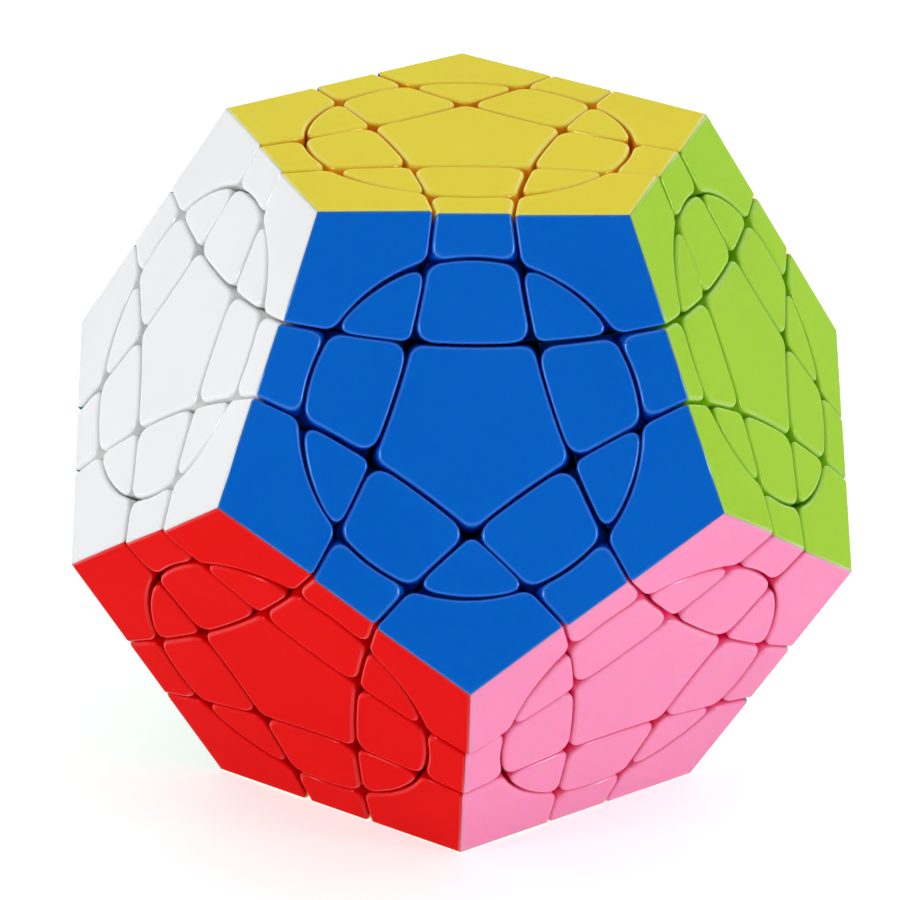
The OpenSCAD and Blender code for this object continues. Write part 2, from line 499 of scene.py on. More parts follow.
@dataclass
class ShellShape:
    """A closed coloured shell made from one outline: flat top, rounded rim, walls and floor."""

    outline: Outline
    levels: tuple[Level, ...]
    sizes: PuzzleSizes
    rim: Rim = field(default_factory=Rim)

    def mesh_data(self) -> tuple[np.ndarray, list[tuple[int, ...]], np.ndarray, np.ndarray]:
        """Vertices in the face's own frame, faces, and two values for each vertex.

        Returns:
            Vertices in millimetres, faces, how much of a rim each vertex is, and its depth below the face.
        """
        top, dial_r = self.sizes.face_r, self.sizes.circle_r
        steps = range(self.rim.steps + 1)
        shapes = [self.rim.flat_row(dial_r), *(self.rim.row(step, dial_r) for step in steps)]
        # Rim weights: they set the rims' gloss and their painted highlight.
        rim_weight = [0.0, *(min(1.0, 2 * step / self.rim.steps) for step in steps)]
        shapes += [RowShape(0.0, level.depth, 0.0, level.depth, level.dial_r) for level in self.levels]
        rim_weight += [0.0] * len(self.levels)
        counts = self.outline.counts(shapes[0], top)
        rows = [self.outline.points(shape, top, counts) for shape in shapes]
        for row, level in zip(rows[-len(self.levels):], self.levels):
            if level.hollow_r > 0:
                flat = row[:, :2]
                row[:, :2] = level.hollow_r * flat / np.linalg.norm(flat, axis=1)[:, None]
        n = len(rows[0])
        faces: list[tuple[int, ...]] = [tuple(range(n))]
        for r in range(len(rows) - 1):
            for k in range(n):
                a, b = r * n + k, r * n + (k + 1) % n
                faces.append((a, a + n, b + n, b))
        last = (len(rows) - 1) * n
        faces.append(tuple(range(last + n - 1, last - 1, -1)))
        verts = np.vstack(rows)
        return verts, faces, np.repeat(rim_weight, n), top - verts[:, 2]


class ShellKind(Enum):
    """The five kinds of coloured shell."""

    CAP = "cap"
    PETAL = "petal"
    TRIANGLE = "triangle"
    EDGE_SIDE = "edge_side"
    CORNER_SIDE = "corner_side"


RING_KINDS = (ShellKind.EDGE_SIDE, ShellKind.CORNER_SIDE)


@dataclass(frozen=True)
class ShellFamily:
    """The shapes of the shells, in the frame of their own face with the near face at azimuth zero."""

    sizes: PuzzleSizes
    cap_corner_share: float = 0.302
    ridge_cut_share: float = 0.63
    dial_cut_turn: float = math.radians(17)
    ridge_cut_turn: float = math.radians(11)
    cap_bend: float = 1.8
    petal_bend: float = 2.2
    triangle_bend: float = 1.35
    ring_bend: float = 1.9
    ridge_bend: float = 0.45
    step_rise: float = 0.02
    wall_top: float = 1.0

    @property
    def step(self) -> float:
        """Angle from one neighbour of a face to the next."""
        return math.tau / SOLID.fold

    def levels(self, side: float) -> tuple[Level, ...]:
        """Rows of the wall below the rim, with the step in the dial's wall where its foot reaches out.

        Args:
            side: -1 for shells in the dial, 1 for shells round it.

        Returns:
            The rows, from the top down.
        """
        s = self.sizes
        step = s.circle_depth - s.tongue_h - side * s.half_gap
        wide = s.circle_r + s.tongue_w
        return (
            Level(self.wall_top, s.circle_r),
            Level(step - self.step_rise / 2, s.circle_r),
            Level(step + self.step_rise / 2, wide),
            Level(s.circle_depth + side * s.half_gap, wide),
        )

    def cut(self, turn: float, side: float) -> Side:
        """The side along a neighbour's cut, before it, -1, or beyond it, 1."""
        return Side(SideKind.CUT, turn, side * self.sizes.half_gap, self.sizes)

    def dial(self, side: float) -> Side:
        """The round side of a shell in the dial, -1, or round it, 1."""
        return Side(SideKind.DIAL, 0.0, side * self.sizes.half_gap, self.sizes)

    def ridge(self, turn: float) -> Side:
        """The side along a ridge of the solid."""
        return Side(SideKind.RIDGE, turn, 0.0, self.sizes)

    def at_cap(self, turn: float, bend: float) -> Corner:
        """A corner where two cuts cross beside the cap."""
        return Corner(self.cap_corner_share * self.sizes.face_r, turn, bend)

    def at_dial(self, turn: float, bend: float) -> Corner:
        """A corner where a cut meets the dial's edge."""
        return Corner(self.sizes.circle_r, turn, bend)

    def at_ridge(self, turn: float) -> Corner:
        """A corner where a cut meets a ridge."""
        return Corner(self.ridge_cut_share * self.sizes.face_r, turn, self.ridge_bend)

    def cap(self) -> ShellShape:
        """The five-sided cap in the middle of a face, hollow over the screw.

        Returns:
            The cap's shape.
        """
        s = self.sizes
        sides = tuple(self.cut(k * self.step, -1) for k in range(SOLID.fold))
        corners = tuple(self.at_cap((k - 0.5) * self.step, self.cap_bend) for k in range(SOLID.fold))
        levels = (
            Level(self.wall_top, s.circle_r),
            Level(s.circle_depth - s.half_gap, s.circle_r),
            Level(s.circle_depth - s.half_gap, s.circle_r, s.cap_hollow_r),
            Level(s.cap_top_t, s.circle_r, s.cap_hollow_r),
        )
        return ShellShape(Outline(sides, corners), levels, s)

    def petal(self) -> ShellShape:
        """The four-sided shell between the cap and the dial's edge.

        Returns:
            The petal's shape.
        """
        sides = (self.cut(-self.step, -1), self.dial(-1), self.cut(self.step, -1), self.cut(0.0, 1))
        corners = (
            self.at_cap(-self.step / 2, self.petal_bend),
            self.at_dial(-self.dial_cut_turn, self.petal_bend),
            self.at_dial(self.dial_cut_turn, self.petal_bend),
            self.at_cap(self.step / 2, self.petal_bend),
        )
        return ShellShape(Outline(sides, corners), self.levels(-1), self.sizes)

    def triangle(self) -> ShellShape:
        """The three-sided shell between two petals, towards the near face and the one to its left.

        Returns:
            The triangle's shape.
        """
        sides = (self.cut(self.step, 1), self.dial(-1), self.cut(0.0, 1))
        corners = (
            self.at_cap(self.step / 2, self.triangle_bend),
            self.at_dial(self.dial_cut_turn, self.triangle_bend),
            self.at_dial(self.step - self.dial_cut_turn, self.triangle_bend),
        )
        return ShellShape(Outline(sides, corners), self.levels(-1), self.sizes)

    def edge_side(self) -> ShellShape:
        """The half of an edge piece that shows on its own face.

        Returns:
            The half's shape.
        """
        sides = (self.cut(-self.step, -1), self.ridge(0.0), self.cut(self.step, -1), self.dial(1))
        corners = (
            self.at_dial(-self.dial_cut_turn, self.ring_bend),
            self.at_ridge(-self.ridge_cut_turn),
            self.at_ridge(self.ridge_cut_turn),
            self.at_dial(self.dial_cut_turn, self.ring_bend),
        )
        return ShellShape(Outline(sides, corners), self.levels(1), self.sizes)

    def corner_side(self) -> ShellShape:
        """The third of a corner piece that shows on its own face.

        Returns:
            The third's shape.
        """
        sides = (
            self.cut(self.step, 1), self.ridge(0.0), self.ridge(self.step), self.cut(0.0, 1), self.dial(1),
        )
        corners = (
            self.at_dial(self.dial_cut_turn, self.ring_bend),
            self.at_ridge(self.ridge_cut_turn),
            Corner(self.sizes.vertex_r, self.step / 2, 0.0),
            self.at_ridge(self.step - self.ridge_cut_turn),
            self.at_dial(self.step - self.dial_cut_turn, self.ring_bend),
        )
        return ShellShape(Outline(sides, corners), self.levels(1), self.sizes)


def linear(colour: Sequence[float]) -> tuple[float, float, float, float]:
    """Turns screen values from 0 to 1 into the linear colour that a shader takes.

    Args:
        colour: red, green and blue as seen on a screen.

    Returns:
        Linear red, green, blue and an alpha of one.
    """
    red, green, blue = (
        value / 12.92 if value <= 0.04045 else ((value + 0.055) / 1.055) ** 2.4 for value in colour
    )
    return red, green, blue, 1.0


class NodeTree:
    """A node tree with a short call that adds a node and feeds it."""

    def __init__(self, tree: bpy.types.NodeTree) -> None:
        """Takes the tree.

        Args:
            tree: the shader or geometry tree to add to.
        """
        self.nodes = tree.nodes
        self.links = tree.links

    def put(self, socket: bpy.types.NodeSocket, value: object) -> None:
        """Links an input to another node's socket, or sets it to a plain value.

        Args:
            socket: the input.
            value: the socket or the value that it takes.
        """
        if isinstance(value, bpy.types.NodeSocket):
            self.links.new(value, socket)
        else:
            socket.default_value = value

    def feed(self, node: bpy.types.Node, **inputs: object) -> bpy.types.Node:
        """Sets or links a node's inputs.

        Args:
            node: the node.
            inputs: values or sockets by input name, with spaces written as underscores.

        Returns:
            The same node.
        """
        for name, value in inputs.items():
            self.put(node.inputs[name.replace("_", " ")], value)
        return node

    def node(self, kind: str, **inputs: object) -> bpy.types.Node:
        """Adds a node and sets or links its inputs.

        Args:
            kind: the node's type.
            inputs: values or sockets by input name, with spaces written as underscores.

        Returns:
            The new node.
        """
        return self.feed(self.nodes.new(kind), **inputs)


@dataclass(frozen=True)
class Grain:
    """A random pattern: how many features a metre holds and how many finer layers are added."""

    per_metre: float
    layers: float = 2.0


@dataclass(frozen=True)
class Relief:
    """A random relief: its pattern, how much of it shows and its depth in metres."""

    grain: Grain
    strength: float
    depth: float


class FinishTree(NodeTree):
    """A shader tree with short calls for the nodes that the finishes share."""

    def __init__(self, name: str) -> None:
        """Starts a material with an output and a Principled shader.

        Args:
            name: the material's name.
        """
        self.material = bpy.data.materials.new(name)
        self.material.use_nodes = True
        super().__init__(self.material.node_tree)
        self.shader = self.nodes["Principled BSDF"]
        self.place = self.nodes.new("ShaderNodeTexCoord").outputs["Object"]

    def noise(self, grain: Grain) -> bpy.types.NodeSocket:
        """Noise over the object's own coordinates, about 0.5 in the mean.

        Args:
            grain: its scale and its layers.

        Returns:
            The noise's value.
        """
        node = self.node("ShaderNodeTexNoise", Vector=self.place, Scale=grain.per_metre, Detail=grain.layers)
        return node.outputs["Fac"]

    def spread(self, value: bpy.types.NodeSocket, low: float, high: float, start: float = 0.2,
               stop: float = 0.8) -> bpy.types.NodeSocket:
        """Maps a value from one range onto another.

        Args:
            value: the value to map.
            low: result at start.
            high: result at stop.
            start: lower end of the value's range.
            stop: upper end of the value's range.

        Returns:
            The mapped value, held to its range.
        """
        node = self.node(
            "ShaderNodeMapRange", Value=value, From_Min=start, From_Max=stop, To_Min=low, To_Max=high
        )
        return node.outputs["Result"]

    def attribute(self, name: str) -> bpy.types.NodeSocket:
        """A value that the mesh keeps for each vertex.

        Args:
            name: the attribute's name.

        Returns:
            The value.
        """
        node = self.nodes.new("ShaderNodeAttribute")
        node.attribute_name = name
        return node.outputs["Fac"]

    def combine(self, operation: str, *values: bpy.types.NodeSocket) -> bpy.types.NodeSocket:
        """Works out one value from two.

        Args:
            operation: the Math node's operation.
            values: the two values.

        Returns:
            The result.
        """
        node = self.nodes.new("ShaderNodeMath")
        node.operation = operation
        for value, socket in zip(values, node.inputs):
            self.links.new(value, socket)
        return node.outputs["Value"]

    def mix(self, share: bpy.types.NodeSocket, one: object, other: object) -> bpy.types.NodeSocket:
        """Mixes two colours, each a colour or another node's socket.

        Args:
            share: how much of the other colour shows.
            one: the first colour.
            other: the other colour.

        Returns:
            The mixed colour.
        """
        node = self.nodes.new("ShaderNodeMix")
        node.data_type = "RGBA"
        self.links.new(share, node.inputs["Factor"])
        for name, value in (("A", one), ("B", other)):
            self.put(next(s for s in node.inputs if s.name == name and s.type == "RGBA"), value)
        return next(s for s in node.outputs if s.type == "RGBA")

    def bump(self, relief: Relief) -> bpy.types.Node:
        """Adds relief to the surface.

        Args:
            relief: its pattern, strength and depth.

        Returns:
            The bump's node.
        """
        height = self.noise(relief.grain)
        return self.node("ShaderNodeBump", Height=height, Strength=relief.strength, Distance=relief.depth)


@dataclass(frozen=True)
class ShellFinish:
    """Satin plastic, coloured through, with a painted highlight that lightens the rims in patches and painted
    groove light that darkens or saturates the colour down the walls.
    """

    face: Face
    colour: tuple[float, float, float]
    # Painted groove light: the colour the walls turn to with depth, darker or more saturated where light fades
    # and bounces in the grooves; it is also the subsurface scatter radius.
    painted_groove_light_and_scatter: tuple[float, float, float]
    translucency: float = 0.65
    roughness: float = 0.32
    rim_roughness: float = 0.17
    handling: float = 0.03
    shine_tint: float = 0.4
    mottle: float = 0.02
    # Painted highlight: how far the rims are lightened towards white, in patches.
    rim_highlight_lift: float = 0.03
    least_rim_highlight: float = 0.2
    flat_specular: float = 0.01
    rim_specular: float = 0.9
    index: float = 1.65
    scatter: float = 0.0013
    # Depths below the face over which the painted groove light comes in.
    painted_groove_start: float = 0.0002
    painted_groove_end: float = 0.0011
    clouds: Grain = Grain(60.0, 3.0)
    rim_patchiness: Grain = Grain(700.0)
    touches: Grain = Grain(200.0)
    wave: Relief = Relief(Grain(90.0, 0.0), 0.05, 0.0004)
    skin: Relief = Relief(Grain(3000.0, 1.0), 0.03, 0.00002)

    def slot(self) -> str:
        """Name of the record's slot that the shells take."""
        return f"{self.face.value}_plastic"

    def tinted(self, lift: float) -> tuple[float, float, float, float]:
        """The colour moved towards white, or towards black where lift is negative."""
        aim = 1.0 if lift > 0 else 0.0
        return linear([value + (aim - value) * abs(lift) for value in self.colour])

    def material(self) -> bpy.types.Material:
        """Builds the material.

        Returns:
            The finish's material.
        """
        tree = FinishTree(self.slot())
        cloud = tree.spread(tree.noise(self.clouds), 0.0, 1.0)
        body = tree.mix(cloud, self.tinted(-self.mottle), self.tinted(self.mottle))
        # Painted rim highlight: the rims are lightened towards white, broken into patches by noise.
        rim_patchiness = tree.spread(tree.noise(self.rim_patchiness), self.least_rim_highlight, 1.0)
        rim_weight = tree.combine("MULTIPLY", tree.attribute("rim"), rim_patchiness)
        rim_highlit = tree.mix(rim_weight, body, self.tinted(self.rim_highlight_lift))
        # Painted groove shade and glow: the base colour moves to the groove colour with depth below the face.
        groove_light_share = tree.spread(tree.attribute("depth"), 0.0, 1.0, self.painted_groove_start, self.painted_groove_end)
        polish = tree.spread(tree.attribute("rim"), self.flat_specular, self.rim_specular, 0.0, 1.0)
        dull = tree.spread(tree.attribute("rim"), self.roughness, self.rim_roughness, 0.0, 1.0)
        touched = tree.spread(tree.noise(self.touches), -self.handling, self.handling)
        wave = tree.bump(self.wave).outputs["Normal"]
        skin = tree.feed(tree.bump(self.skin), Normal=wave)
        tree.feed(
            tree.shader, Base_Color=tree.mix(groove_light_share, rim_highlit, linear(self.painted_groove_light_and_scatter)), Specular_IOR_Level=polish,
            Specular_Tint=self.tinted(self.shine_tint), IOR=self.index,
            Roughness=tree.combine("ADD", dull, touched), Subsurface_Weight=self.translucency,
            Subsurface_Radius=linear(self.painted_groove_light_and_scatter)[:3], Subsurface_Scale=self.scatter,
            Normal=skin.outputs["Normal"],
        )
        return tree.material


@dataclass(frozen=True)
class InnerFinish:
    """A finish of the pieces inside: two tones in cloudy patches, uneven gloss and a fine relief."""

    slot: str
    colour: tuple[float, float, float]
    tones: tuple[float, float]
    patches: Grain
    roughness: tuple[float, float]
    gloss: Grain
    relief: Relief
    metallic: float = 0.0

    def material(self) -> bpy.types.Material:
        """Builds the material.

        Returns:
            The finish's material.
        """
        tree = FinishTree(self.slot)
        low, high = (linear([value * share for value in self.colour]) for share in self.tones)
        tree.feed(
            tree.shader, Base_Color=tree.mix(tree.spread(tree.noise(self.patches), 0.0, 1.0), low, high),
            Metallic=self.metallic, Roughness=tree.spread(tree.noise(self.gloss), *self.roughness),
            Normal=tree.bump(self.relief).outputs["Normal"],
        )
        return tree.material


def mesh_object(name: str, data: bpy.types.Mesh) -> bpy.types.Object:
    """Puts a mesh into the scene as an object at the origin.

    Args:
        name: the object's name.
        data: its mesh.

    Returns:
        The object.
    """
    piece = bpy.data.objects.new(name, data)
    bpy.context.scene.collection.objects.link(piece)
    return piece


@dataclass(frozen=True)
class Place:
    """Where a real piece belongs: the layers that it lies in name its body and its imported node."""

    layers: frozenset[Face]

    def turning(self) -> list[str]:
        """Names of the turning faces among the layers, in the faces' order."""
        return [face.value for face in FACES if face in self.layers and face is not HELD]

    def body(self) -> str:
        """Name of the body that the piece rides on."""
        names = self.turning()
        return "_".join([*names, BODY_KINDS[len(names) - 1]]) if names else "core"

    def node(self) -> str:
        """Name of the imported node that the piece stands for.

        Returns:
            The node's name.
        """
        if not self.layers:
            return "centre_caps"
        names = self.turning() or [HELD.value]
        return "_".join([NODE_KINDS[len(names) - 1], *names])


@dataclass
class Looseness:
    """Small fixed-seed turns that let each real piece sit a hair out of line, as a hand-turned puzzle's do.

    Edges and corners lean the same way round, left by the last turns, so that ridges show small steps.
    """

    seed: int = 11
    about_middle: float = math.radians(0.08)
    spread: float = math.radians(0.35)
    lean: dict[int, float] = field(default_factory=lambda: {2: math.radians(0.5), 3: math.radians(1.1)})
    known: dict[frozenset[Enum], Matrix] = field(default_factory=dict)

    def __post_init__(self) -> None:
        """Starts the random numbers."""
        self.random = random.Random(self.seed)

    def turn(self, key: frozenset[Enum], out: np.ndarray) -> np.ndarray:
        """The turn of one real piece, the same for all of its sides.

        Args:
            key: what names the real piece: its faces, and its kind if it is in a dial.
            out: the piece's own outward direction.

        Returns:
            A 3 by 3 rotation about the core's centre.
        """
        if key not in self.known:
            axis = Vector([self.random.gauss(0, 1) for _ in range(3)]).normalized()
            tip = Matrix.Rotation(self.random.uniform(-1, 1) * self.about_middle, 3, axis)
            lean = self.lean.get(len(key), 0.0) if all(isinstance(part, Face) for part in key) else 0.0
            spin = Matrix.Rotation(lean + self.random.uniform(-1, 1) * self.spread, 3, Vector(out))
            self.known[key] = tip @ spin
        return np.array(self.known[key])


@dataclass
class Shells:
    """All the coloured shells: caps, petals, triangles, edge sides and corner sides of the twelve faces."""

    sizes: PuzzleSizes
    finishes: dict[Face, bpy.types.Material]
    looseness: Looseness = field(default_factory=Looseness)
    crease: float = math.radians(50)
    built: list[bpy.types.Object] = field(default_factory=list)

    def __post_init__(self) -> None:
        """Works out each kind's mesh once."""
        family = ShellFamily(self.sizes)
        shapes = (family.cap(), family.petal(), family.triangle(), family.edge_side(), family.corner_side())
        self.meshes = {kind: shape.mesh_data() for kind, shape in zip(ShellKind, shapes)}

    def add(self, kind: ShellKind, face: Face, near: Face, others: Sequence[Face],
            key: frozenset[Enum]) -> None:
        """Adds one shell.

        Args:
            kind: which kind it is.
            face: the face that it shows on.
            near: the neighbour that the family's frame leans to.
            others: every other face whose layer it lies in, in the order used in its name.
            key: what names the real piece that it is part of.
        """
        verts, faces, rims, depths = self.meshes[kind]
        turned = verts @ SOLID.local_frame(face, near).T
        layers = frozenset([*others, face] if kind in RING_KINDS else others)
        out = sum((SOLID.axis(each) for each in FACES if each in (layers or {face})), np.zeros(3))
        loose = self.looseness.turn(key, out / np.linalg.norm(out))
        name = "_".join([kind.value, face.value, *(other.value for other in others)])
        data = bpy.data.meshes.new(name)
        data.from_pydata((turned @ loose.T * MM).tolist(), [], faces)
        for label, values in (("rim", rims), ("depth", depths * MM)):
            data.attributes.new(label, "FLOAT", "POINT").data.foreach_set("value", values.astype(np.float32))
        data.shade_smooth()
        data.set_sharp_from_angle(angle=self.crease)
        data.materials.append(self.finishes[face])
        data.validate()
        piece = mesh_object(name, data)
        place = Place(layers)
        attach(piece, place.body())
        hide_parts(place.node())
        self.built.append(piece)

    def build(self) -> None:
        """Adds every shell of every face."""
        for face in FACES:
            around = SOLID.around(face)
            self.add(ShellKind.CAP, face, around[0], [], frozenset([face, ShellKind.CAP]))
            for k, near in enumerate(around):
                pair = [near, around[(k + 1) % SOLID.fold]]
                petal, triangle = ShellKind.PETAL, ShellKind.TRIANGLE
                self.add(petal, face, near, [near], frozenset([face, near, petal]))
                self.add(triangle, face, near, pair, frozenset([face, *pair, triangle]))
                self.add(ShellKind.EDGE_SIDE, face, near, [near], frozenset([face, near]))
                self.add(ShellKind.CORNER_SIDE, face, near, pair, frozenset([face, *pair]))
        LOG.info("%d coloured shells", len(self.built))


@dataclass
class InnerParts:
    """The dark feet, necks and turntables below the coloured shells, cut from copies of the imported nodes."""

    sizes: PuzzleSizes
    material: bpy.types.Material
    finishes: dict[Face, bpy.types.Material]
    floor_clear: float = 0.02
    weld: float = 2e-6
    crease: float = math.radians(30)

    def islands(self, mesh: bmesh.types.BMesh) -> list[list[bmesh.types.BMVert]]:
        """Groups of vertices that hang together.

        Args:
            mesh: the mesh to look through.

        Returns:
            One list of vertices for each separate solid.
        """
        found, groups = set(), []
        for first in mesh.verts:
            if first in found:
                continue
            found.add(first)
            stack, group = [first], []
            while stack:
                vert = stack.pop()
                group.append(vert)
                for edge in vert.link_edges:
                    other = edge.other_vert(vert)
                    if other not in found:
                        found.add(other)
                        stack.append(other)
            groups.append(group)
        return groups

    def cut_down(self, node: str) -> bmesh.types.BMesh:
        """A copy of a node without its dial pieces and with its heads cut off below the shells.

        Args:
            node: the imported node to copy.

        Returns:
            The remaining solids, closed again.
        """
        mesh = bmesh.new()
        mesh.from_mesh(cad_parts[node].data)
        bmesh.ops.remove_doubles(mesh, verts=mesh.verts, dist=self.weld)
        floor = (self.sizes.face_r - self.sizes.circle_depth) * MM
        axes = {face: Vector(SOLID.axis(face)) for face in FACES}
        for group in self.islands(mesh):
            lowest = min(max(vert.co.dot(axis) for axis in axes.values()) for vert in group)
            if lowest > floor - self.floor_clear * MM:
                bmesh.ops.delete(mesh, geom=group, context="VERTS")
        level = floor - (self.sizes.half_gap + self.floor_clear) * MM
        for place, axis in enumerate(axes.values(), start=1):
            above = any(vert.co.dot(axis) > floor + self.floor_clear * MM for vert in mesh.verts)
            if above:
                cut = bmesh.ops.bisect_plane(
                    mesh, geom=[*mesh.verts, *mesh.edges, *mesh.faces], plane_co=axis * level, plane_no=axis,
                    clear_outer=True, dist=self.weld,
                )
                rim = [part for part in cut["geom_cut"] if isinstance(part, bmesh.types.BMEdge)]
                for made in bmesh.ops.holes_fill(mesh, edges=rim, sides=0)["faces"]:
                    made.material_index = place
        bmesh.ops.recalc_face_normals(mesh, faces=mesh.faces)
        return mesh

    def build(self) -> int:
        """Adds the inner part of every turntable, edge and corner node.

        Returns:
            How many pieces were added.
        """
        count = 0
        for node in sorted(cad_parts):
            kind, _, rest = node.partition("_")
            if kind not in NODE_KINDS:
                continue
            faces = [Face(part) for part in rest.split("_")]
            mesh = self.cut_down(node)
            data = bpy.data.meshes.new(f"inner_{node}")
            mesh.to_mesh(data)
            mesh.free()
            data.shade_smooth()
            data.set_sharp_from_angle(angle=self.crease)
            for material in (self.material, *(self.finishes[face] for face in FACES)):
                data.materials.append(material)
            piece = mesh_object(f"inner_{node}", data)
            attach(piece, Place(frozenset(faces)).body())
            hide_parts(node)
            count += 1
        LOG.info("%d inner parts", count)
        return count


class ArmTree(NodeTree):
    """A geometry tree that puts one small part on each of the core's arms, its sizes given by input names."""

    def __init__(self, name: str, sizes: dict[str, float], material: bpy.types.Material) -> None:
        """Starts the tree with its inputs.

        Args:
            name: the tree's name.
            sizes: named input values in metres or turns.
            material: the finish that the parts end with.
        """
        self.group = bpy.data.node_groups.new(name, "GeometryNodeTree")
        super().__init__(self.group)
        self.sizes = sizes
        self.material = material
        self.group.interface.new_socket("Arms", in_out="INPUT", socket_type="NodeSocketGeometry")
        for label in sizes:
            self.group.interface.new_socket(label, in_out="INPUT", socket_type="NodeSocketFloat")
        self.group.interface.new_socket("Parts", in_out="OUTPUT", socket_type="NodeSocketGeometry")
        self.given = self.nodes.new("NodeGroupInput")

    def size(self, label: str) -> bpy.types.NodeSocket:
        """The group input that holds a named size."""
        return self.given.outputs[label]

    def moved(self, part: bpy.types.NodeSocket, height: str) -> bpy.types.NodeSocket:
        """Lifts a part along +Z.

        Args:
            part: the part's geometry.
            height: name of the size that says how far.

        Returns:
            The lifted geometry.
        """
        lift = self.node("ShaderNodeCombineXYZ", Z=self.size(height)).outputs["Vector"]
        return self.node("GeometryNodeTransform", Geometry=part, Translation=lift).outputs["Geometry"]

    def rod(self, sides: int, radius: str, length: str, middle: str) -> bpy.types.NodeSocket:
        """A rod along +Z.

        Args:
            sides: how many sides it has.
            radius: name of its radius.
            length: name of its length.
            middle: name of its middle's height.

        Returns:
            The rod's geometry.
        """
        rod = self.node("GeometryNodeMeshCylinder", Vertices=sides, Radius=self.size(radius),
                        Depth=self.size(length))
        return self.moved(rod.outputs["Mesh"], middle)

    def coil(self, radius: str, turns: str, height: str, low: str, points: int, wire: str,
             wire_sides: int) -> bpy.types.NodeSocket:
        """Wire wound round +Z, its ends closed.

        Args:
            radius: name of the coil's radius.
            turns: name of the number of turns.
            height: name of its height.
            low: name of its lower end's height.
            points: how many points a turn has.
            wire: name of the wire's radius.
            wire_sides: how many sides the wire has.

        Returns:
            The coil's geometry.
        """
        path = self.node(
            "GeometryNodeCurveSpiral", Resolution=points, Rotations=self.size(turns),
            Start_Radius=self.size(radius), End_Radius=self.size(radius), Height=self.size(height),
        )
        ring = self.node("GeometryNodeCurvePrimitiveCircle", Resolution=wire_sides, Radius=self.size(wire))
        swept = self.node("GeometryNodeCurveToMesh", Curve=path.outputs["Curve"],
                          Profile_Curve=ring.outputs["Curve"], Fill_Caps=True)
        return self.moved(swept.outputs["Mesh"], low)

    def joined(self, parts: Sequence[bpy.types.NodeSocket]) -> bpy.types.NodeSocket:
        """Joins several geometries into one.

        Args:
            parts: the geometries.

        Returns:
            The joined geometry.
        """
        join = self.nodes.new("GeometryNodeJoinGeometry")
        for part in parts:
            self.links.new(part, join.inputs["Geometry"])
        return join.outputs["Geometry"]

    def finish(self, part: bpy.types.NodeSocket, name: str) -> bpy.types.Object:
        """Puts the part on every arm and turns the result into a plain mesh object.

        Args:
            part: the part, standing up +Z from the core's centre.
            name: the piece's name.

        Returns:
            The finished piece.
        """
        axis = self.nodes.new("GeometryNodeInputNamedAttribute")
        axis.data_type = "FLOAT_VECTOR"
        axis.inputs["Name"].default_value = "axis"
        stand = self.node("FunctionNodeAlignRotationToVector", Vector=axis.outputs["Attribute"])
        stand.axis = "Z"
        spread = self.node("GeometryNodeInstanceOnPoints", Points=self.given.outputs["Arms"], Instance=part,
                           Rotation=stand.outputs["Rotation"])
        real = self.node("GeometryNodeRealizeInstances", Geometry=spread.outputs["Instances"])
        dress = self.node("GeometryNodeSetMaterial", Geometry=real.outputs["Geometry"],
                          Material=self.material)
        self.node("NodeGroupOutput", Parts=dress.outputs["Geometry"])
        arms = bpy.data.meshes.new(f"{name}_arms")
        arms.from_pydata([(0.0, 0.0, 0.0)] * len(FACES), [], [])
        directions = np.concatenate([SOLID.axis(face) for face in FACES]).astype(np.float32)
        arms.attributes.new("axis", "FLOAT_VECTOR", "POINT").data.foreach_set("vector", directions)
        base = mesh_object(f"{name}_base", arms)
        modifier = base.modifiers.new("parts", "NODES")
        modifier.node_group = self.group
        for item in self.group.interface.items_tree:
            if item.in_out == "INPUT" and item.name in self.sizes:
                modifier[item.identifier] = self.sizes[item.name]
        seen = base.evaluated_get(bpy.context.evaluated_depsgraph_get())
        data = bpy.data.meshes.new_from_object(seen)
        bpy.data.objects.remove(base)
        data.name = name
        return mesh_object(name, data)


